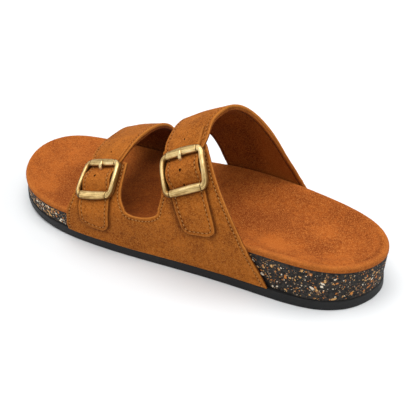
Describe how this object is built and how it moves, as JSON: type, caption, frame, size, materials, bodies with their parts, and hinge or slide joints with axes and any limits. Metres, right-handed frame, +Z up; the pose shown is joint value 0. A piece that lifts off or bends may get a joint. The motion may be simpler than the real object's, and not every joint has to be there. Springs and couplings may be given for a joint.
{
  "type": "double-buckle sandal",
  "caption": "Left-foot suede sandal with buckled instep straps, a cupped footbed, a flecked foam midsole and a thin black outsole.",
  "frame": {"origin": "on the floor under the middle of the sole's length, on the last's middle line", "axes": "+X towards the heel, -X towards the toe, -Y towards the buckles on the outer side, +Z up"},
  "size_m": [0.27, 0.0969, 0.0935],
  "materials": {
    "outsole": "satin black",
    "midsole": "matte charcoal foam with tan and cream chips",
    "insole": "mottled suede",
    "upper": "suede",
    "buckles": "brushed antique"
  },
  "bodies": {
    "root": {"outsole": "outsole", "midsole": "midsole", "insole": "insole", "upper": "upper", "buckle_frame_front": "buckles", "buckle_frame_rear": "buckles", "buckle_prong_front": "buckles", "buckle_prong_rear": "buckles"}
  },
  "joints": []
}
